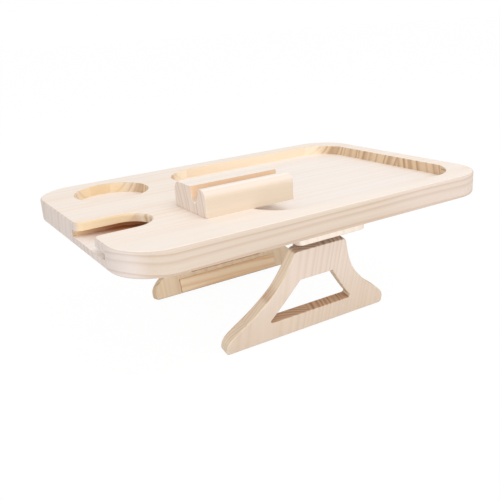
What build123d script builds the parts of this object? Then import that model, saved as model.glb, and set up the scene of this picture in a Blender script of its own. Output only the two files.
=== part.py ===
from build123d import *
from math import cos, radians, sin
import os

# Sofa arm tray, in millimetres. X runs along the tray, Y runs front to back, Z is up.
# The origin is under the tray's centre, at the height of the feet.

# Tray board
tray_length = 330.0
tray_width = 225.0
tray_thickness = 18.5
tray_corner_radius = 35.0
tray_edge_radius = 1.8

# Rectangular recess in the tray's top, 198 by 190, with the land left around it
recess_left_margin = 116.5
recess_right_margin = 15.5
recess_side_margin = 17.5
recess_depth = 9.3
recess_corner_radius = 33.0
recess_floor_radius = 1.2
rim_radius = 0.8

# Round recess for a cup
cup_diameter = 63.0
cup_depth = 9.0
cup_end_distance = 57.0
cup_back_distance = 48.0

# Open slot for a goblet's stem, with a wider groove below it for the foot
slot_width = 38.0
slot_length = 51.0
slot_side_offset = 31.3
slot_mouth_radius = 6.0
lip_thickness = 6.4
groove_width = 70.0
groove_height = 5.4
groove_side_offset = 38.0

# Centre board under the tray, 210 long
centre_board_width = 64.0
centre_board_end_margin = 7.5
centre_board_thickness = 7.0
centre_board_corner_radius = 5.0
centre_board_edge_radius = 2.0

# Legs. The outline shares are of half the foot's width and of the leg's length.
# The shares for the top and the opening are of the whole foot's width and of the leg's length.
foot_width = 160.0
leg_length = 80.0
leg_thickness = 10.0
leg_lean = 14.0
foot_inset = 42.5
leg_edge_radius = 1.2
toe_radius = 3.0
leg_flank_shares = [
    (1.000, 0.056),
    (0.935, 0.188),
    (0.759, 0.325),
    (0.594, 0.475),
    (0.468, 0.625),
    (0.388, 0.775),
    (0.338, 0.910),
]
leg_top_width_share = 0.2625
opening_bottom_share = 0.225
opening_middle_share = 0.437
opening_top_share = 0.650
opening_bottom_width_share = 0.525
opening_middle_width_share = 0.3525
opening_top_width_share = 0.2
opening_corner_radius = 1.6

# Cross-grain batten on the leg's inner face, at the foot
batten_length = 108.0
batten_height = 13.0
batten_thickness = 1.5
batten_edge_radius = 0.4
batten_rise = 1.0

# Hinges: two for each leg, side by side within the width of the leg's top
hinge_length = 16.0
hinge_spacing_share = 0.55
barrel_radius = 2.8
pin_radius = 1.2
pin_head_radius = 1.9
pin_head_thickness = 0.8
pin_head_edge_radius = 0.5
leaf_width = 15.0
leaf_thickness = 1.2
leaf_corner_radius = 2.0
hinge_rise = 3.9
knuckle_count = 3
knuckle_clearance = 0.3
pin_clearance = 0.05

# Hinge screws
hinge_screw_spacing = 8.0
hinge_screw_distance = 9.4
hinge_screw_length = 6.6
hinge_screw_radius = 1.1
hinge_screw_head_radius = 2.2
hinge_screw_head_height = 1.0

# Centre board screws
board_screw_rows = 3
board_screw_row_spacing = 52.0
board_screw_spacing = 36.0
board_screw_length = 13.0
board_screw_radius = 1.7
board_screw_head_radius = 3.5
board_screw_head_height = 1.9

# Cross slot in every screw head, as shares of the head
cross_length_share = 1.25
cross_width_share = 0.28
cross_depth_share = 0.55
screw_tip_share = 1.0
screw_clearance = 0.05
seat_clearance = 0.02

# Phone stand, with its slot measured from the stand's front face
stand_length = 76.0
stand_width = 50.0
stand_height = 20.0
stand_shoulder_radius = 7.0
stand_end_radius = 0.7
stand_left_distance = 78.0
stand_front_distance = 42.0
stand_slot_front = 9.8
stand_slot_back = 23.0
stand_slot_floor_front = 16.4
stand_slot_floor_back = 21.2
stand_slot_depth = 12.0
stand_slot_floor_radius = 2.2

# Sizes, heights and places that follow from the sizes above
recess_length = tray_length - recess_left_margin - recess_right_margin
recess_width = tray_width - 2 * recess_side_margin
centre_board_length = tray_width - 2 * centre_board_end_margin
leg_top_width = foot_width * leg_top_width_share
hinge_spacing = leg_top_width * hinge_spacing_share
foot_y = tray_width / 2 - foot_inset
pivot_depth = leg_thickness + barrel_radius
pivot_height = leg_length + hinge_rise
pivot_y = -foot_y + pivot_depth * cos(radians(leg_lean)) - pivot_height * sin(radians(leg_lean))
pivot_z = pivot_depth * sin(radians(leg_lean)) + pivot_height * cos(radians(leg_lean))
centre_board_bottom = pivot_z + barrel_radius
tray_bottom = centre_board_bottom + centre_board_thickness
tray_top = tray_bottom + tray_thickness
left_end = -tray_length / 2
front_side = -tray_width / 2
back_side = tray_width / 2
front_leg_place = Location((0, -foot_y, 0), (leg_lean, 0, 0))
front_hinge_place = Location((0, pivot_y, pivot_z))
turned = Location((0, 0, 0), (0, 0, 180))


# Screws
def make_screw(length, radius, head_radius, head_height):
    # Countersunk screw with its head's face at the origin, pointing along +Z
    shank_end = length - radius * screw_tip_share
    profile = Polyline(
        (0, 0),
        (head_radius, 0),
        (radius, head_height),
        (radius, shank_end),
        (0, length),
        (0, 0),
    )
    screw = revolve(Plane.XZ * make_face(profile), Axis.Z)
    cross_length = head_radius * cross_length_share
    cross_width = head_radius * cross_width_share
    cross_depth = head_height * cross_depth_share
    low = (Align.CENTER, Align.CENTER, Align.MIN)
    screw -= Box(cross_length, cross_width, cross_depth, align=low)
    screw -= Box(cross_width, cross_length, cross_depth, align=low)
    return screw


def make_screw_hole(length, radius, head_radius, head_height):
    # Space for a countersunk screw, a little larger than the screw all round
    shank_end = length - radius * screw_tip_share
    profile = Polyline(
        (0, 0),
        (head_radius + seat_clearance, 0),
        (radius + seat_clearance, head_height),
        (radius + screw_clearance, head_height),
        (radius + screw_clearance, shank_end),
        (0, length + screw_clearance),
        (0, 0),
    )
    return revolve(Plane.XZ * make_face(profile), Axis.Z)


hinge_screw = make_screw(
    hinge_screw_length, hinge_screw_radius, hinge_screw_head_radius, hinge_screw_head_height
)
hinge_screw_hole = make_screw_hole(
    hinge_screw_length, hinge_screw_radius, hinge_screw_head_radius, hinge_screw_head_height
)
board_screw = make_screw(
    board_screw_length, board_screw_radius, board_screw_head_radius, board_screw_head_height
)
board_screw_hole = make_screw_hole(
    board_screw_length, board_screw_radius, board_screw_head_radius, board_screw_head_height
)

# Places of the screws
board_screw_places = [
    Location((x, y, centre_board_bottom))
    for x in (-board_screw_spacing / 2, board_screw_spacing / 2)
    for y in [(i - (board_screw_rows - 1) / 2) * board_screw_row_spacing for i in range(board_screw_rows)]
]
hinge_xs = [-hinge_spacing / 2, hinge_spacing / 2]
leaf_screw_xs = [-hinge_screw_spacing / 2, hinge_screw_spacing / 2]
leaf_face = barrel_radius - leaf_thickness
board_leaf_screw_places = [Location((x, hinge_screw_distance, leaf_face)) for x in leaf_screw_xs]
front_board_leaf_screw_places = [
    front_hinge_place * Pos(hinge_x, 0, 0) * place for hinge_x in hinge_xs for place in board_leaf_screw_places
]
back_board_leaf_screw_places = [turned * place for place in front_board_leaf_screw_places]
leg_leaf_screw_places = [
    Location((hinge_x + x, leg_thickness + leaf_thickness, pivot_height - hinge_screw_distance), (90, 0, 0))
    for hinge_x in hinge_xs
    for x in leaf_screw_xs
]

# Tray board: outline, with the goblet slot and its groove open at the left end
tray_board = extrude(
    Pos(0, 0, tray_bottom) * RectangleRounded(tray_length, tray_width, tray_corner_radius),
    tray_thickness,
)
slot_back = -slot_side_offset + slot_width / 2
slot_front = -slot_side_offset - slot_width / 2
slot_tip = left_end + slot_length
slot_centre_x = slot_tip - slot_width / 2
outside = left_end - slot_mouth_radius
slot_outline = [
    Line((outside, slot_back + slot_mouth_radius), (left_end, slot_back + slot_mouth_radius)),
    RadiusArc(
        (left_end, slot_back + slot_mouth_radius),
        (left_end + slot_mouth_radius, slot_back),
        -slot_mouth_radius,
    ),
    Line((left_end + slot_mouth_radius, slot_back), (slot_centre_x, slot_back)),
    ThreePointArc((slot_centre_x, slot_back), (slot_tip, -slot_side_offset), (slot_centre_x, slot_front)),
    Line((slot_centre_x, slot_front), (left_end + slot_mouth_radius, slot_front)),
    RadiusArc(
        (left_end + slot_mouth_radius, slot_front),
        (left_end, slot_front - slot_mouth_radius),
        -slot_mouth_radius,
    ),
    Line((left_end, slot_front - slot_mouth_radius), (outside, slot_front - slot_mouth_radius)),
    Line((outside, slot_front - slot_mouth_radius), (outside, slot_back + slot_mouth_radius)),
]
groove_floor = tray_top - lip_thickness - groove_height
slot_face = make_face(slot_outline)
tray_board -= extrude(Pos(0, 0, groove_floor) * slot_face, lip_thickness + groove_height)
groove_run = slot_centre_x - outside
groove_face = Pos(slot_centre_x - groove_run / 2, -groove_side_offset) * Rectangle(groove_run, groove_width)
groove_face += Pos(slot_centre_x, -groove_side_offset) * Circle(groove_width / 2)
tray_board -= extrude(Pos(0, 0, groove_floor) * groove_face, groove_height)
top_face = tray_board.faces().sort_by(Axis.Z)[-1]
bottom_face = tray_board.faces().sort_by(Axis.Z)[0]
tray_board = fillet(top_face.outer_wire().edges() + bottom_face.outer_wire().edges(), tray_edge_radius)

# Tray board: rectangular recess and cup recess, each with a softened rim and floor edge
recess_x = left_end + recess_left_margin + recess_length / 2
recess = extrude(
    Pos(recess_x, 0, tray_top - recess_depth)
    * RectangleRounded(recess_length, recess_width, recess_corner_radius),
    recess_depth,
)
recess = fillet(recess.edges().group_by(Axis.Z)[0], recess_floor_radius)
cup_x = left_end + cup_end_distance
cup_y = back_side - cup_back_distance
cup = extrude(Pos(cup_x, cup_y, tray_top - cup_depth) * Circle(cup_diameter / 2), cup_depth)
cup = fillet(cup.edges().group_by(Axis.Z)[0], recess_floor_radius)
tray_board -= [recess, cup]
top_face = tray_board.faces().filter_by(GeomType.PLANE).sort_by(Axis.Z)[-1]
rim_edges = [edge for wire in top_face.inner_wires() for edge in wire.edges()]
tray_board = fillet(rim_edges, rim_radius)
for place in board_screw_places:
    tray_board -= place * board_screw_hole

# Centre board
centre_board = extrude(
    Pos(0, 0, centre_board_bottom)
    * RectangleRounded(centre_board_width, centre_board_length, centre_board_corner_radius),
    centre_board_thickness,
)
centre_board = fillet(centre_board.edges().group_by(Axis.Z)[0], centre_board_edge_radius)
for place in board_screw_places:
    centre_board -= place * board_screw_hole
for place in front_board_leaf_screw_places + back_board_leaf_screw_places:
    centre_board -= place * hinge_screw_hole
centre_board_screws = Compound(children=[place * board_screw for place in board_screw_places])

# Legs: flared outline and trapezoid opening, drawn with the outer face at the back of the drawing
flank = [(foot_width / 2 * across, leg_length * up) for across, up in leg_flank_shares]
toe_x = foot_width / 2 - toe_radius
shoulder_x = leg_top_width / 2
leg_outline = [
    Line((-toe_x, 0), (toe_x, 0)),
    Spline([(toe_x, 0)] + flank[:1], tangents=[(1, 0), (0, 1)]),
    Spline(flank, tangents=[(0, 1), (flank[-1][0] - flank[-2][0], flank[-1][1] - flank[-2][1])]),
    Spline(
        [flank[-1], (shoulder_x, leg_length)],
        tangents=[(flank[-1][0] - flank[-2][0], flank[-1][1] - flank[-2][1]), (-1, 0)],
    ),
    Line((shoulder_x, leg_length), (-shoulder_x, leg_length)),
]
leg_outline += [mirror(curve, about=Plane.YZ) for curve in leg_outline[1:4]]
opening_bottom = leg_length * opening_bottom_share
opening_middle = leg_length * opening_middle_share
opening_top = leg_length * opening_top_share
opening_bottom_width = foot_width * opening_bottom_width_share
opening_middle_width = foot_width * opening_middle_width_share
opening_top_width = foot_width * opening_top_width_share
right_side = ThreePointArc(
    (opening_bottom_width / 2, opening_bottom),
    (opening_middle_width / 2, opening_middle),
    (opening_top_width / 2, opening_top),
)
opening_outline = [
    Line((-opening_bottom_width / 2, opening_bottom), (opening_bottom_width / 2, opening_bottom)),
    right_side,
    Line((opening_top_width / 2, opening_top), (-opening_top_width / 2, opening_top)),
    mirror(right_side, about=Plane.YZ),
]
opening_face = make_face(opening_outline)
opening_face = fillet(opening_face.vertices(), opening_corner_radius)
leg_face = make_face(leg_outline) - opening_face
leg = extrude(Plane.XZ * leg_face, -leg_thickness)
outer_edges = leg.faces().sort_by(Axis.Y)[0].edges()
inner_edges = leg.faces().sort_by(Axis.Y)[-1].edges()
leg = fillet(outer_edges + inner_edges, leg_edge_radius)
for place in leg_leaf_screw_places:
    leg -= place * hinge_screw_hole

# Batten on the leg's inner face
batten = extrude(
    Plane.XZ.offset(-leg_thickness)
    * Pos(0, batten_rise + batten_height / 2)
    * Rectangle(batten_length, batten_height),
    -batten_thickness,
)
batten = fillet(batten.faces().sort_by(Axis.Y)[-1].edges(), batten_edge_radius)


# Hinge leaves, with the pin's axis along X at the origin and the leaf along +Y, its back facing +Z
def make_leaf(own_knuckles):
    pitch = hinge_length / knuckle_count
    notch = barrel_radius + knuckle_clearance
    plate_run = leaf_width - notch
    plate_outline = Pos(0, notch + plate_run / 2) * Rectangle(hinge_length, plate_run)
    plate_outline = fillet(plate_outline.vertices().group_by(Axis.Y)[-1], leaf_corner_radius)
    leaf = extrude(Pos(0, 0, leaf_face) * plate_outline, leaf_thickness)
    for i in own_knuckles:
        centre = (i - (knuckle_count - 1) / 2) * pitch
        inner_gaps = (0 if i == 0 else 1) + (0 if i == knuckle_count - 1 else 1)
        length = pitch - inner_gaps * knuckle_clearance / 2
        shift = ((0 if i == 0 else 1) - (0 if i == knuckle_count - 1 else 1)) * knuckle_clearance / 4
        tab = Box(length, notch, leaf_thickness, align=(Align.CENTER, Align.MIN, Align.MIN))
        leaf += Pos(centre + shift, 0, leaf_face) * tab
        leaf += Pos(centre + shift, 0, 0) * Rot(0, 90, 0) * Cylinder(barrel_radius, length)
    leaf -= Rot(0, 90, 0) * Cylinder(pin_radius + pin_clearance, hinge_length)
    for place in board_leaf_screw_places:
        leaf -= place * hinge_screw_hole
    return leaf


outer_knuckles = [0, knuckle_count - 1]
inner_knuckles = range(1, knuckle_count - 1)
board_leaf = make_leaf(outer_knuckles)
leg_leaf = make_leaf(inner_knuckles)
leg_leaf_place = Location((0, pivot_depth, pivot_height), (90, 0, 0)) * turned
pin = Rot(0, 90, 0) * Cylinder(pin_radius, hinge_length)
for side in (-1, 1):
    head = Rot(0, 90 * side, 0) * extrude(Circle(pin_head_radius), pin_head_thickness)
    head = fillet(head.faces().sort_by(Axis.X)[-1 if side > 0 else 0].edges(), pin_head_edge_radius)
    pin += Pos(side * hinge_length / 2, 0, 0) * head

# Phone stand
slot_top = stand_height
slot_floor = stand_height - stand_slot_depth
stand_profile = fillet(
    (Pos(stand_width / 2, stand_height / 2) * Rectangle(stand_width, stand_height))
    .vertices()
    .group_by(Axis.Y)[-1],
    stand_shoulder_radius,
)
stand_slot = make_face(
    Polyline(
        (stand_slot_front, slot_top),
        (stand_slot_floor_front, slot_floor),
        (stand_slot_floor_back, slot_floor),
        (stand_slot_back, slot_top),
        (stand_slot_front, slot_top),
    )
)
stand_slot = fillet(stand_slot.vertices().group_by(Axis.Y)[0], stand_slot_floor_radius)
stand = extrude(Plane.YZ * (stand_profile - stand_slot), stand_length)
end_edges = stand.faces().sort_by(Axis.X)[0].edges() + stand.faces().sort_by(Axis.X)[-1].edges()
stand = fillet(end_edges, stand_end_radius)
phone_stand = Pos(left_end + stand_left_distance, front_side + stand_front_distance, tray_top) * stand

# All pieces, each in its own file
nodes = {
    "tray_board": tray_board,
    "centre_board": centre_board,
    "centre_board_screws": centre_board_screws,
    "front_leg": front_leg_place * leg,
    "back_leg": turned * front_leg_place * leg,
    "front_leg_batten": front_leg_place * batten,
    "back_leg_batten": turned * front_leg_place * batten,
    "front_board_leaf_screws": Compound(
        children=[place * hinge_screw for place in front_board_leaf_screw_places]
    ),
    "back_board_leaf_screws": Compound(
        children=[place * hinge_screw for place in back_board_leaf_screw_places]
    ),
    "front_leg_leaf_screws": Compound(
        children=[front_leg_place * place * hinge_screw for place in leg_leaf_screw_places]
    ),
    "back_leg_leaf_screws": Compound(
        children=[turned * front_leg_place * place * hinge_screw for place in leg_leaf_screw_places]
    ),
    "phone_stand": phone_stand,
}
for name, x in (("left", hinge_xs[0]), ("right", hinge_xs[1])):
    shift = Pos(x, 0, 0)
    nodes["front_" + name + "_board_leaf"] = front_hinge_place * shift * board_leaf
    nodes["front_" + name + "_leg_leaf"] = front_leg_place * shift * leg_leaf_place * leg_leaf
    nodes["front_" + name + "_pin"] = front_hinge_place * shift * pin
    back_shift = Pos(-x, 0, 0)
    nodes["back_" + name + "_board_leaf"] = turned * front_hinge_place * back_shift * board_leaf
    nodes["back_" + name + "_leg_leaf"] = turned * front_leg_place * back_shift * leg_leaf_place * leg_leaf
    nodes["back_" + name + "_pin"] = turned * front_hinge_place * back_shift * pin

os.makedirs("parts", exist_ok=True)
for name, shape in nodes.items():
    export_step(shape, "parts/" + name + ".step")
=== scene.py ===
# %% [markdown]
# # A wooden tray for a sofa arm
#
# The tray is a pine board with a nearly square recess, a round cup recess and an open slot for a goblet.
# It stands on two flared legs that fold on small hinges, and a loose wooden block holds a phone.
# The shapes come from the CAD model. This lesson gives them their finish: pale pine with its growth rings,
# cut three ways, and satin steel for the hinges and screws.

# %% Load the CAD model
import math

import bpy
from mathutils import Matrix, Vector

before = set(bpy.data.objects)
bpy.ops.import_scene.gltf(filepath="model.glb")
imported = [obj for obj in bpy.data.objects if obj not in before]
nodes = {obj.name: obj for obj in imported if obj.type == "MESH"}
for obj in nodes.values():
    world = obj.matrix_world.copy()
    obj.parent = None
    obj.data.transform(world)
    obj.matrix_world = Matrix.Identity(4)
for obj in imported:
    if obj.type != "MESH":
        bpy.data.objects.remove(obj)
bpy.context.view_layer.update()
bpy.ops.object.select_all(action="DESELECT")
per_metre = 1000

# %% [markdown]
# ## The camera
#
# The photograph looks down on the tray's front left corner. A camera's place and lens were worked out from
# the printed sizes, so straight edges fall where they do in the photograph.
# A camera looks along its own -Z, so it is tilted up from straight down, turned and then rolled.

# %% Camera
camera_place = (-0.2849, -0.4588, 0.2408)
camera_turn, camera_dip, camera_roll = -30.83, 19.42, -3.78
camera_data = bpy.data.cameras.new("camera")
camera_data.lens = 45.88
camera_data.sensor_width = 36.0
camera_data.clip_start = 0.01
camera_data.clip_end = 50.0
camera = bpy.data.objects.new("camera", camera_data)
bpy.context.scene.collection.objects.link(camera)
turned = Matrix.Rotation(math.radians(camera_turn), 4, "Z")
tilted = Matrix.Rotation(math.radians(90 - camera_dip), 4, "X")
rolled = Matrix.Rotation(math.radians(camera_roll), 4, "Z")
camera.matrix_world = Matrix.Translation(camera_place) @ turned @ tilted @ rolled
bpy.context.scene.camera = camera
bpy.context.scene.view_settings.view_transform = "Standard"
print("camera at", [round(v, 3) for v in camera.location])

# %% [markdown]
# ## Helpers for materials
#
# A procedural material is a chain of small nodes. These helpers add a node, join it to the ones before it
# and return its output, so that each material below reads from top to bottom.


# %% Helpers that add a node
def add_node(tree, kind, inputs=(), **settings):
    # An input is either a number or the output of another node
    node = tree.nodes.new(kind)
    for name, value in settings.items():
        setattr(node, name, value)
    for name, value in dict(inputs).items():
        if isinstance(value, bpy.types.NodeSocket):
            tree.links.new(value, node.inputs[name])
        else:
            node.inputs[name].default_value = value
    return node


def maths(tree, operation, *values):
    return add_node(tree, "ShaderNodeMath", enumerate(values), operation=operation).outputs[0]


def plus(tree, first, second):
    return maths(tree, "ADD", first, second)


def minus(tree, first, second):
    return maths(tree, "SUBTRACT", first, second)


def times(tree, first, *others):
    for other in others:
        first = maths(tree, "MULTIPLY", first, other)
    return first


def vector_maths(tree, operation, *values):
    node = add_node(tree, "ShaderNodeVectorMath", enumerate(values), operation=operation)
    return node.outputs["Value" if operation == "DOT_PRODUCT" else "Vector"]


def noise(tree, point, detail, scale=1.0, **inputs):
    inputs.update({"Vector": point, "Detail": detail, "Scale": scale})
    return add_node(tree, "ShaderNodeTexNoise", inputs).outputs


print("made the helpers that add a node")

# %% [markdown]
# ## Helpers for colours and edges
#
# Colours are picked from 0 to 255, as on a screen, but a shader works with linear light, so each is changed
# first. A fade is a soft edge, which looks better than a hard one wherever one kind of wood meets another.


# %% Helpers for colours, fades and ramps
def linear(red, green, blue):
    shares = [channel / 255 for channel in (red, green, blue)]
    return [s / 12.92 if s <= 0.04045 else ((s + 0.055) / 1.055) ** 2.4 for s in shares] + [1.0]


def blend_colours(tree, share, first, second):
    # A Mix node's sockets for colours are its inputs 6 and 7 and its output 2
    return add_node(tree, "ShaderNodeMix", {0: share, 6: first, 7: second}, data_type="RGBA").outputs[2]


def fade(tree, value, nothing, full):
    # Rises smoothly from 0 where the value is "nothing" to 1 where it is "full"
    node = add_node(tree, "ShaderNodeMapRange", {
        "Value": value, "From Min": nothing, "From Max": full}, interpolation_type="SMOOTHSTEP")
    return node.outputs["Result"]


def ramp(tree, share, stops, interpolation="LINEAR"):
    node = add_node(tree, "ShaderNodeValToRGB", {"Fac": share})
    node.color_ramp.interpolation = interpolation
    while len(node.color_ramp.elements) < len(stops):
        node.color_ramp.elements.new(0.5)
    for element, (place, level) in zip(node.color_ramp.elements, stops):
        element.position = place
        element.color = (level, level, level, 1)
    return node.outputs["Color"]


print("mid grey in linear light:", round(linear(128, 128, 128)[0], 3))

# %% [markdown]
# ## Growth rings
#
# A tree grows in rings, so the colour of a board depends on how far each point is from the tree's middle.
# A flat picture of grain would not meet itself at the edges. A solid pattern does: streaks run along the
# faces, bands follow the sides, and arcs show on the cut ends and inside the holes.
# A wide board is glued from staves, and each stave comes from a tree of its own. Most are cut off to one side
# of the tree's middle, so that the rings stand upright in the board. The first few staves may be sawn flat
# instead: the middle was under them, and their rings lie flat.
# All coordinates are in millimetres, with X along the grain, Y across it and Z through the board.

# %% Where each stave's tree had its middle
side_nearest, side_spread = 1.2, 2.2
flat_side_cut = 0.9
depth_spread, flat_depth = 1.2, 1.5
wider_least, wider_spread = 0.3, 0.6
seed_step = 9.0


def find_stave(tree, y, stave, seed):
    # The stave's number, and the place across it, from -0.5 to 0.5
    across = plus(tree, maths(tree, "DIVIDE", y, stave), seed)
    return maths(tree, "FLOOR", across), minus(tree, maths(tree, "FRACT", across), 0.5)


def find_tree(tree, number, seed, flat):
    # How far its middle was to the side and below, in staves, and how much wider than the pitch its rings are
    throw = add_node(tree, "ShaderNodeTexWhiteNoise", {
        "W": plus(tree, number, times(tree, seed, seed_step))}, noise_dimensions="1D")
    chances = add_node(tree, "ShaderNodeSeparateColor", {0: throw.outputs["Color"]}).outputs
    side = minus(tree, chances[0], 0.5)
    side = plus(tree, times(tree, side, side_spread), times(tree, maths(tree, "SIGN", side), side_nearest))
    side = times(tree, side, minus(tree, 1.0, times(tree, flat, flat_side_cut)))
    lift = times(tree, minus(tree, chances[1], 0.5), depth_spread)
    depth = plus(tree, lift, times(tree, flat, flat_depth))
    wider = plus(tree, times(tree, chances[2], wider_spread), wider_least)
    return side, depth, plus(tree, times(tree, wider, minus(tree, 1.0, flat)), 1.0)


side_furthest = round(side_nearest + side_spread / 2, 2)
print("a tree's middle lies", side_nearest, "to", side_furthest, "staves to one side")

# %% [markdown]
# ## Counting the rings
#
# The distance from the tree's middle, divided by the pitch, says which year a point grew in. Real trees are
# not round and their years are not alike, so the middle sways along the board, the edge of each ring wavers,
# and thick and thin years follow one another. Within a year the wood is pale at first and darkens slowly
# to the late wood, where it ends sharply.

# %% Rings at an uneven distance
sway_reach, waver_reach = 8.0, 7.0
wander_stretch = (0.0035, 0.012, 0.012)
growth_scale, growth_reach = 0.09, 1.6
growth_step = 90.0
year_levels = [(0.0, 0.50), (0.14, 0.06), (0.45, 0.10), (0.74, 0.60), (0.88, 1.0), (1.0, 0.50)]
weakest_year = 0.4


def count_years(tree, point, z, stave, number, place, seed, middle, pitch):
    side, depth, wider = middle
    shift = add_node(tree, "ShaderNodeCombineXYZ", {0: number, 1: seed}).outputs[0]
    stretched = vector_maths(tree, "ADD", vector_maths(tree, "MULTIPLY", point, wander_stretch), shift)
    wander = add_node(tree, "ShaderNodeSeparateColor", {0: noise(tree, stretched, 2.0)["Color"]}).outputs
    sway = times(tree, minus(tree, wander[0], 0.5), sway_reach)
    waver = times(tree, minus(tree, wander[1], 0.5), waver_reach)
    ring_y = times(tree, minus(tree, place, side), stave)
    ring_z = plus(tree, plus(tree, z, times(tree, depth, stave)), sway)
    radius = maths(tree, "SQRT", plus(tree, times(tree, ring_y, ring_y), times(tree, ring_z, ring_z)))
    growth = add_node(tree, "ShaderNodeTexNoise", {
        "W": plus(tree, radius, times(tree, number, growth_step)),
        "Scale": growth_scale, "Detail": 1.0}, noise_dimensions="1D")
    uneven = times(tree, growth.outputs["Fac"], growth_reach)
    return plus(tree, maths(tree, "DIVIDE", plus(tree, radius, waver), times(tree, pitch, wider)), uneven)


def darken_years(tree, years):
    # How dark the wood is in its year, and some years are weaker than others
    level = ramp(tree, maths(tree, "FRACT", years), year_levels)
    year = add_node(tree, "ShaderNodeTexWhiteNoise", {
        "W": maths(tree, "FLOOR", years)}, noise_dimensions="1D")
    strength = plus(tree, times(tree, year.outputs["Value"], 1 - weakest_year), weakest_year)
    return times(tree, level, strength)


print("levels within a year:", [level for _, level in year_levels])

# %% [markdown]
# ## The whole ring pattern
#
# A node group keeps the pattern in one place, and every wooden piece uses it with its own numbers. Besides
# the rings it gives fine fibres, slow changes of tone and the thin glue line where two staves meet.
# Noise that is squeezed far less along the grain than across it makes long fibres and streaks.

# %% The ring pattern's node group
fibre_stretch = (0.02, 1.1, 1.1)
streak_stretch = (0.004, 0.16, 0.16)
tone_stretch = (0.006, 0.02, 0.02)
tone_share = 0.4
glue_line_width = 0.35


def make_ring_group():
    tree = bpy.data.node_groups.new("pine rings", "ShaderNodeTree")
    tree.interface.new_socket("Point", in_out="INPUT", socket_type="NodeSocketVector")
    for name in ("Stave", "Pitch", "Seed", "Flat below"):
        tree.interface.new_socket(name, in_out="INPUT", socket_type="NodeSocketFloat")
    for name in ("Ring", "Fibre", "Tone", "Joint"):
        tree.interface.new_socket(name, in_out="OUTPUT", socket_type="NodeSocketFloat")
    given = tree.nodes.new("NodeGroupInput").outputs
    result = tree.nodes.new("NodeGroupOutput").inputs
    point, stave, seed = given["Point"], given["Stave"], given["Seed"]
    _, y, z = add_node(tree, "ShaderNodeSeparateXYZ", {0: point}).outputs

    number, place = find_stave(tree, y, stave, seed)
    flat = maths(tree, "LESS_THAN", number, given["Flat below"])
    middle = find_tree(tree, number, seed, flat)
    years = count_years(tree, point, z, stave, number, place, seed, middle, given["Pitch"])

    fibre = noise(tree, vector_maths(tree, "MULTIPLY", point, fibre_stretch), 4.0, Roughness=0.6)["Fac"]
    streak = noise(tree, vector_maths(tree, "MULTIPLY", point, streak_stretch), 2.0)["Fac"]
    tone = noise(tree, vector_maths(tree, "MULTIPLY", point, tone_stretch), 1.0)["Fac"]
    tone = plus(tree, times(tree, tone, tone_share), times(tree, streak, 1 - tone_share))
    from_edge = times(tree, minus(tree, 0.5, maths(tree, "ABSOLUTE", place)), stave)

    tree.links.new(darken_years(tree, years), result["Ring"])
    tree.links.new(fibre, result["Fibre"])
    tree.links.new(tone, result["Tone"])
    tree.links.new(ramp(tree, from_edge, [(0.0, 1.0), (glue_line_width, 0.0)]), result["Joint"])
    return tree


ring_group = make_ring_group()
print("ring pattern:", len(ring_group.nodes), "nodes")

# %% [markdown]
# ## Pine, cut three ways
#
# The broad face of a pine board is almost white and its edges are warmer, partly the wood's own colour and
# partly painted light, as the faces are painted paler than the sides. Its cut ends are darker, because there
# the open fibres soak up light. The pattern is turned so that its grain follows each piece, and the surface's
# own direction says which of the three cuts shows. Those directions come from the object itself, so the
# finish stays put when a leg folds.
# Some pieces have a special place, such as the walls of a recess. A function of the piece's own paints it.

# %% The pine material
face_cut_fade = [(0.75, 0.0), (0.99, 1.0)]
end_cut_fade = [(0.45, 0.0), (0.85, 1.0)]
fibre_contrast, tone_contrast, glue_contrast = 0.12, 0.12, 0.03
pine_relief, pine_relief_depth, fibre_relief = 0.25, 0.0001, 0.7
pine_roughness, late_wood_shine, pine_specular = 0.62, 0.10, 0.3
no_flat_staves = -99


def map_grain(tree, coordinates, piece, grain, face):
    # Turns the piece's own coordinates to the grain, in millimetres from the middle of the piece
    turn = Matrix((grain, face.cross(grain), face))
    middle = sum((Vector(corner) for corner in nodes[piece].bound_box), Vector()) / 8
    return add_node(tree, "ShaderNodeMapping", {
        "Vector": coordinates.outputs["Object"],
        "Location": turn @ middle * -per_metre,
        "Rotation": turn.to_euler("XYZ"),
        "Scale": (per_metre, per_metre, per_metre),
    }).outputs[0]


def find_cut(tree, coordinates, direction, fade_stops):
    # How squarely the surface faces along a direction, either way
    facing = vector_maths(tree, "DOT_PRODUCT", coordinates.outputs["Normal"], direction)
    return ramp(tree, maths(tree, "ABSOLUTE", facing), fade_stops, "EASE")


def finish_pine(tree, shader, rings, colour):
    # Fibres, slow changes of tone and glue lines
    fibre = times(tree, minus(tree, rings["Fibre"], 0.5), fibre_contrast)
    tone = times(tree, minus(tree, rings["Tone"], 0.5), tone_contrast)
    level = plus(tree, plus(tree, fibre, tone), 1.0)
    level = minus(tree, level, times(tree, rings["Joint"], glue_contrast))
    scaled = add_node(tree, "ShaderNodeVectorMath", {0: colour, "Scale": level}, operation="SCALE")
    tree.links.new(scaled.outputs[0], shader.inputs["Base Color"])

    # Late wood stands a little proud after sanding, and shines a little more
    height = plus(tree, times(tree, rings["Fibre"], fibre_relief), rings["Ring"])
    bump = add_node(tree, "ShaderNodeBump", {
        "Height": height, "Strength": pine_relief, "Distance": pine_relief_depth})
    tree.links.new(bump.outputs[0], shader.inputs["Normal"])
    shine = times(tree, rings["Ring"], late_wood_shine)
    tree.links.new(minus(tree, pine_roughness, shine), shader.inputs["Roughness"])
    shader.inputs["Specular IOR Level"].default_value = pine_specular


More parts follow.
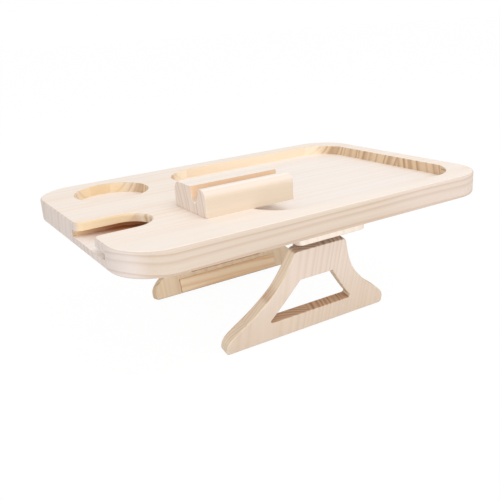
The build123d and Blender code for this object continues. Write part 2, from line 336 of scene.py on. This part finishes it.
def make_pine(piece, name, grain, face, colours, stave, pitch, seed, flat_below=no_flat_staves, special=None):
    material = bpy.data.materials.new(name)
    material.use_nodes = True
    tree = material.node_tree
    grain, face = Vector(grain).normalized(), Vector(face).normalized()
    coordinates = add_node(tree, "ShaderNodeTexCoord")
    point = map_grain(tree, coordinates, piece, grain, face)
    group = add_node(tree, "ShaderNodeGroup", node_tree=ring_group)
    tree.links.new(point, group.inputs["Point"])
    for socket, value in (("Stave", stave), ("Pitch", pitch), ("Seed", seed), ("Flat below", flat_below)):
        group.inputs[socket].default_value = value

    # Each cut blends from its pale early wood to its darker late wood
    rings = group.outputs
    cuts = {"face": find_cut(tree, coordinates, face, face_cut_fade),
            "end": find_cut(tree, coordinates, grain, end_cut_fade)}
    shades = {cut: blend_colours(tree, rings["Ring"], linear(*pale), linear(*dark))
              for cut, (pale, dark) in colours.items()}
    # The faces are paler than the edges, partly the wood's own colour and partly painted light
    colour = blend_colours(tree, cuts["face"], shades["edge"], shades["face"])
    colour = blend_colours(tree, cuts["end"], colour, shades["end"])
    if special:
        colour = special(tree, point, cuts, shades, colour)
    finish_pine(tree, tree.nodes["Principled BSDF"], rings, colour)
    return material


print("roughness of early and late wood:", pine_roughness, round(pine_roughness - late_wood_shine, 2))

# %% [markdown]
# ## The walls that a router cut
#
# The recess, the cup recess and the slot were cut into the tray with a router. Their walls show fresher,
# yellower wood than the sanded outside, and dark rings where the cutter crossed the grain. Their floors are
# painted the palest of all, as painted light that lifts the shade in the recesses. Outside, the sides of the
# board are painted a little paler towards its right end, as painted light.
# These places are found by their coordinates, in millimetres from the middle of the tray. A pair of numbers
# for a fade says where it has no effect yet and where it has its full effect.

# %% Router-cut walls and floors
half_length, half_width = 165.0, 112.5
corner_power = 6.0
outline_fade = (0.99, 0.90)
recess_fade = (-90, -70)
floor_light_top_fade, floor_light_bottom_fade = (6, 3), (-8, -6)
right_light_fade = (30, 85)


def paint_right_light(tree, x, cuts, shades, colour):
    # Painted light: the sides are painted paler towards the tray's right end
    sides = times(tree, minus(tree, 1.0, cuts["face"]), minus(tree, 1.0, cuts["end"]))
    right = times(tree, fade(tree, x, *right_light_fade), sides)
    return blend_colours(tree, right, colour, shades["right edge"])


def paint_walls(tree, x, y, cuts, shades, colour):
    # A rounded outline just inside the tray's own keeps the walls' colours off its outside
    along = maths(tree, "POWER", maths(tree, "DIVIDE", maths(tree, "ABSOLUTE", x), half_length), corner_power)
    across = maths(tree, "POWER", maths(tree, "DIVIDE", maths(tree, "ABSOLUTE", y), half_width), corner_power)
    inside = times(tree, fade(tree, plus(tree, along, across), *outline_fade), minus(tree, 1.0, cuts["face"]))
    in_recess = fade(tree, x, *recess_fade)
    side_wall = blend_colours(tree, in_recess, shades["routed"], shades["recess"])
    end_wall = blend_colours(tree, in_recess, shades["routed end"], shades["recess end"])
    return blend_colours(tree, inside, colour, blend_colours(tree, cuts["end"], side_wall, end_wall))


def paint_floor_light(tree, z, cuts, shades, colour):
    # Painted light: the floors of the recesses are painted paler, to lift the shade in the recesses
    lit_floors = times(tree, fade(tree, z, *floor_light_top_fade), fade(tree, z, *floor_light_bottom_fade))
    return blend_colours(tree, times(tree, lit_floors, cuts["face"]), colour, shades["floor"])


print("the recess' colours start between", recess_fade, "mm along the tray")

# %% [markdown]
# ## Painted shade in the groove
#
# In the narrow groove under the slot's lip the wood is painted dark brown, as painted shade under the lip.
# The painted shade is darkest deep in the groove. It fades towards the slot's mouth and towards the open
# floor, so it is a product of six fades, one from each side.

# %% The painted shade in the groove
lip_underside, groove_bottom = 2.85, -2.55
groove_shade_top_fade = (lip_underside + 0.3, lip_underside - 0.6)
groove_shade_bottom_fade = (groove_bottom - 2.5, groove_bottom - 0.5)
groove_shade_front_fade, groove_shade_back_fade = (-34, -17), (3, -1)
groove_shade_left_fade, groove_shade_right_fade = (-170, -126), (-92, -97)
# Painted shade: the dark brown that the groove under the lip is painted
groove_shade_colour = (190, 131, 86)


def paint_groove_shade(tree, x, y, z, colour):
    # Painted shade: darkest deep under the lip and towards the groove's closed end
    heights = times(tree, fade(tree, z, *groove_shade_top_fade), fade(tree, z, *groove_shade_bottom_fade))
    depths = times(tree, fade(tree, y, *groove_shade_front_fade), fade(tree, y, *groove_shade_back_fade))
    ends = times(tree, fade(tree, x, *groove_shade_left_fade), fade(tree, x, *groove_shade_right_fade))
    painted_shade = times(tree, heights, times(tree, depths, ends))
    return blend_colours(tree, painted_shade, colour, linear(*groove_shade_colour))


def paint_tray(tree, point, cuts, shades, colour):
    x, y, z = add_node(tree, "ShaderNodeSeparateXYZ", {0: point}).outputs
    colour = paint_right_light(tree, x, cuts, shades, colour)
    colour = paint_walls(tree, x, y, cuts, shades, colour)
    colour = paint_floor_light(tree, z, cuts, shades, colour)
    return paint_groove_shade(tree, x, y, z, colour)


print("groove from", groove_bottom, "to", lip_underside, "mm about the tray's middle")

# %% [markdown]
# ## Wood for the tray
#
# Each cut has two colours: the pale wood that a tree grows early in a year, and the darker late wood.
# The tray's grain runs along it. Its frontmost staves are sawn flat, so long bands run along its front side.

# %% Wood for the tray
tray_colours = {
    "face": ((254, 242, 231), (250, 229, 210)),
    "edge": ((220, 203, 187), (202, 177, 154)),
    # painted light on the sides towards the right end
    "right edge": ((226, 210, 197), (210, 186, 167)),
    "end": ((235, 222, 214), (217, 200, 188)),
    # painted light on the floors of the recesses
    "floor": ((255, 246, 239), (253, 238, 225)),
    "routed": ((244, 221, 186), (231, 202, 160)),
    "routed end": ((246, 229, 207), (211, 182, 151)),
    "recess": ((252, 235, 211), (243, 220, 189)),
    "recess end": ((234, 208, 176), (176, 140, 106)),
}
along_x, along_y, upwards = (1, 0, 0), (0, 1, 0), (0, 0, 1)
tray_pine = make_pine("tray_board", "tray pine", along_x, upwards, tray_colours,
                      stave=56, pitch=5.2, seed=0.31, flat_below=-1.5, special=paint_tray)
print("made", tray_pine.name)

# %% [markdown]
# ## Special places on the legs and the phone stand
#
# Across the grain, the sawn floor of a leg's opening is darker than the sanded flanks. The leg's top is
# painted darker still, as painted shade from the tray above it; on the back leg it keeps the sawn colour.
# Towards its feet a leg's broad face is a little deeper in colour.
# The phone stand's rounded shoulders are painted paler than its lower sides, as a painted highlight, and the
# walls of its slot show fresher, more orange wood.

# %% Special places on the legs and the phone stand
foot_fade = (25, -25)
sawn_half_width = (48, 44)
leg_top_shade_fade = (20, 30)
shoulder_highlight_fade = (3, 9)
stand_slot_middle, stand_slot_half_width, stand_slot_depth = -8.6, (7.3, 6.9), (0, 4)


def paint_leg(tree, point, cuts, shades, colour):
    x, y, _ = add_node(tree, "ShaderNodeSeparateXYZ", {0: point}).outputs
    low = times(tree, fade(tree, x, *foot_fade), cuts["face"])
    colour = blend_colours(tree, low, colour, shades["foot"])
    inner = fade(tree, maths(tree, "ABSOLUTE", y), *sawn_half_width)
    # Painted shade: the leg's top, under the tray, is painted darker than the sawn floor of its opening
    sawn_end_and_top_shade = blend_colours(tree, fade(tree, x, *leg_top_shade_fade), shades["sawn end"], shades["top end"])
    return blend_colours(tree, times(tree, inner, cuts["end"]), colour, sawn_end_and_top_shade)


def paint_stand(tree, point, cuts, shades, colour):
    _, y, z = add_node(tree, "ShaderNodeSeparateXYZ", {0: point}).outputs
    along = minus(tree, 1.0, cuts["end"])
    # Painted highlight: the rounded shoulders and upper sides are painted paler than the lower sides
    shoulder = times(tree, fade(tree, z, *shoulder_highlight_fade), minus(tree, along, cuts["face"]))
    colour = blend_colours(tree, shoulder, colour, shades["shoulder"])
    from_middle = maths(tree, "ABSOLUTE", minus(tree, y, stand_slot_middle))
    wall = times(tree, fade(tree, from_middle, *stand_slot_half_width), fade(tree, z, *stand_slot_depth))
    wall = times(tree, wall, times(tree, along, minus(tree, 1.0, cuts["face"])))
    return blend_colours(tree, wall, colour, shades["slot"])


print("the phone stand's slot lies", abs(stand_slot_middle), "mm in front of its middle")

# %% [markdown]
# ## Colours of the legs, the centre board and the phone stand
#
# The front leg is duller than the tray, and the back leg and the battens are yellower. The centre board's
# ends are painted paler than the tray's, as painted light that lifts the shade under the tray.

# %% Colours of the other pieces
centre_colours = {
    "face": tray_colours["face"],
    "edge": tray_colours["edge"],
    # Painted light: the ends are painted paler than the tray's, to lift the shade under the tray
    "end": ((250, 239, 226), (242, 226, 210)),
}
front_leg_colours = {
    "face": ((234, 217, 204), (223, 202, 184)),
    "foot": ((226, 208, 190), (218, 197, 175)),
    "edge": ((236, 221, 200), (220, 193, 160)),
    "end": ((228, 209, 188), (203, 175, 147)),
    "sawn end": ((203, 169, 139), (140, 97, 67)),
    # painted shade for the front leg's top, under the tray
    "top end": ((186, 163, 144), (122, 98, 82)),
}
back_leg_colours = {
    "face": ((239, 220, 195), (231, 205, 174)),
    "foot": ((243, 223, 196), (235, 208, 175)),
    "edge": ((236, 214, 186), (212, 178, 140)),
    "end": ((226, 204, 176), (192, 158, 122)),
    "sawn end": ((222, 180, 138), (212, 166, 122)),
    # the back leg's top gets no painted shade: it keeps the sawn colour
    "top end": ((222, 180, 138), (212, 166, 122)),
}
batten_colours = {
    "face": ((255, 235, 205), (234, 188, 142)),
    "edge": ((240, 214, 182), (208, 168, 124)),
    "end": ((206, 166, 126), (150, 104, 70)),
}
stand_colours = {
    "face": ((254, 245, 236), (250, 231, 212)),
    # painted highlight on the rounded shoulders
    "shoulder": ((245, 227, 213), (239, 211, 190)),
    "edge": ((225, 209, 189), (211, 186, 159)),
    "end": ((240, 226, 214), (219, 199, 184)),
    "slot": ((243, 214, 184), (232, 198, 164)),
}
print("the front leg's shades:", ", ".join(front_leg_colours))

# %% [markdown]
# ## Wood for the legs, the centre board and the phone stand
#
# The legs are cut with the grain running up them, so that they do not snap across. Each leans inwards, and
# its grain leans with it. The battens at their feet run across that grain, and hold the leg flat.

# %% Wood for the other pieces
leg_lean = math.radians(14)
front_up, front_in = (0, -math.sin(leg_lean), math.cos(leg_lean)), (0, math.cos(leg_lean), math.sin(leg_lean))
back_up, back_in = (0, math.sin(leg_lean), math.cos(leg_lean)), (0, -math.cos(leg_lean), math.sin(leg_lean))
all_staves_flat = 99
woods = {
    "tray_board": tray_pine,
    "centre_board": make_pine("centre_board", "centre board pine", along_y, upwards, centre_colours,
                              stave=62, pitch=4.6, seed=0.5),
    "front_leg": make_pine("front_leg", "front leg pine", front_up, front_in, front_leg_colours,
                           stave=60, pitch=2.7, seed=0.05, flat_below=-0.5, special=paint_leg),
    "back_leg": make_pine("back_leg", "back leg pine", back_up, back_in, back_leg_colours,
                          stave=60, pitch=5.0, seed=0.7, special=paint_leg),
    "front_leg_batten": make_pine("front_leg_batten", "front batten pine", along_x, front_in, batten_colours,
                                  stave=30, pitch=3.4, seed=0.4),
    "back_leg_batten": make_pine("back_leg_batten", "back batten pine", along_x, back_in, batten_colours,
                                 stave=30, pitch=3.4, seed=0.1, flat_below=all_staves_flat),
    "phone_stand": make_pine("phone_stand", "phone stand pine", along_x, upwards, stand_colours,
                             stave=56, pitch=3.2, seed=0.5, special=paint_stand),
}
print("woods:", ", ".join(woods))

# %% [markdown]
# ## Satin steel
#
# Small hinges are pressed from plated steel. Fine scratches run along the rolled sheet, which a noise
# stretched one way gives as a faint bump and an uneven gloss. A second, round noise clouds the colour.

# %% The steel material
scratch_stretch = (300.0, 5000.0, 5000.0)
cloud_scale, cloud_darkness = 160.0, 0.75
scratch_relief, scratch_depth, scratch_gloss = 0.2, 0.00005, 0.25


def make_steel(name, colour, roughness):
    material = bpy.data.materials.new(name)
    material.use_nodes = True
    tree = material.node_tree
    shader = tree.nodes["Principled BSDF"]
    place = add_node(tree, "ShaderNodeTexCoord").outputs["Object"]
    scratch = noise(tree, vector_maths(tree, "MULTIPLY", place, scratch_stretch), 3.0)["Fac"]
    cloud = noise(tree, place, 2.0, cloud_scale)["Fac"]
    colour = linear(*colour)
    darker = [channel * cloud_darkness for channel in colour[:3]] + [1.0]
    tree.links.new(blend_colours(tree, cloud, darker, colour), shader.inputs["Base Color"])
    bump = add_node(tree, "ShaderNodeBump", {
        "Height": scratch, "Strength": scratch_relief, "Distance": scratch_depth})
    tree.links.new(bump.outputs[0], shader.inputs["Normal"])
    uneven = times(tree, minus(tree, scratch, 0.5), scratch_gloss)
    tree.links.new(plus(tree, uneven, roughness), shader.inputs["Roughness"])
    shader.inputs["Metallic"].default_value = 1.0
    return material


hinge_steel = make_steel("hinge steel", (206, 200, 188), roughness=0.34)
screw_steel = make_steel("screw steel", (190, 186, 178), roughness=0.28)
print("made", hinge_steel.name, "and", screw_steel.name)

# %% [markdown]
# ## Give every piece its finish
#
# A CAD piece keeps its shape and place. Only the material in its slot changes.

# %% Finishes on the CAD pieces
for name, piece in nodes.items():
    finish = woods.get(name) or (screw_steel if name.endswith("screws") else hinge_steel)
    piece.data.materials.clear()
    piece.data.materials.append(finish)
print("finished pieces:", len(nodes))

# %% [markdown]
# ## Floor
#
# The photograph is a cut-out on white. A wide pale floor just under the feet catches a very faint shadow. To
# the camera and in reflections it mostly glows white, so that it goes on to the sky without a line, while
# the light that it sends back up to the wood is that of a plain pale floor.

# %% Floor
floor_size, floor_drop = 40, 0.0005
floor_grey, floor_roughness = 0.9, 0.9
glow_share, glow_strength = 0.94, 1.02


def seen_by_camera(tree):
    # 1 for what the camera sees, itself or in a reflection, and 0 for light on its way between surfaces
    path = add_node(tree, "ShaderNodeLightPath").outputs
    return maths(tree, "MAXIMUM", path["Is Camera Ray"], path["Is Glossy Ray"])


bpy.ops.mesh.primitive_plane_add(size=floor_size, location=(0, 0, -floor_drop))
floor = bpy.context.object
floor.name = "floor"
floor_material = bpy.data.materials.new("floor white")
floor_material.use_nodes = True
floor_tree = floor_material.node_tree
floor_shader = floor_tree.nodes["Principled BSDF"]
floor_shader.inputs["Base Color"].default_value = (floor_grey, floor_grey, floor_grey, 1)
floor_shader.inputs["Roughness"].default_value = floor_roughness
floor_shader.inputs["Specular IOR Level"].default_value = 0.0
glow = add_node(floor_tree, "ShaderNodeEmission", {"Color": (1, 1, 1, 1), "Strength": glow_strength})
floor_mix = add_node(floor_tree, "ShaderNodeMixShader", {
    0: times(floor_tree, seen_by_camera(floor_tree), glow_share),
    1: floor_shader.outputs[0],
    2: glow.outputs[0],
})
floor_tree.links.new(floor_mix.outputs[0], floor_tree.nodes["Material Output"].inputs["Surface"])
floor.data.materials.append(floor_material)
print("floor", floor.name)

# %% [markdown]
# ## Sky
#
# An even white sky lights the tray softly from all round. It looks fully white to the camera and in
# reflections, but lights the object more gently, so that pale wood doesn't clip to white.

# %% Sky
sky_light = 0.68
world = bpy.data.worlds.new("studio")
bpy.context.scene.world = world
world.use_nodes = True
sky_tree = world.node_tree
sky = sky_tree.nodes["Background"]
sky.inputs["Color"].default_value = (1, 1, 1, 1)
sky_strength = plus(sky_tree, times(sky_tree, seen_by_camera(sky_tree), 1 - sky_light), sky_light)
sky_tree.links.new(sky_strength, sky.inputs["Strength"])
print("sky", world.name, "lights at", sky_light)

# %% [markdown]
# ## Two lamps
#
# One wide lamp above the front gives the top a little more light than the sides, and a soft shadow under the
# phone stand. The wider a lamp is, the softer its shadows are.
# The legs lean under the tray, so light from above leaves them dim. A long low lamp in front reaches under
# the tray and lights the legs almost as much as the tray's front.


# %% Lamps
def add_lamp(name, place, aim, width, height, energy):
    data = bpy.data.lights.new(name, "AREA")
    data.shape = "RECTANGLE"
    data.size = width
    data.size_y = height
    data.energy = energy
    lamp = bpy.data.objects.new(name, data)
    bpy.context.scene.collection.objects.link(lamp)
    lamp.location = place
    lamp.rotation_euler = (Vector(aim) - lamp.location).to_track_quat("-Z", "Y").to_euler()
    return lamp


lamps = [
    add_lamp("soft box", place=(0.3, -0.9, 1.7), aim=(0, 0, 0.1), width=1.6, height=1.2, energy=10.0),
    add_lamp("low lamp", place=(-0.7, -1.5, 0.42), aim=(0, 0, 0.08), width=1.6, height=0.7, energy=8.0),
]
for lamp in lamps:
    print(lamp.name, "at", [round(v, 2) for v in lamp.location])
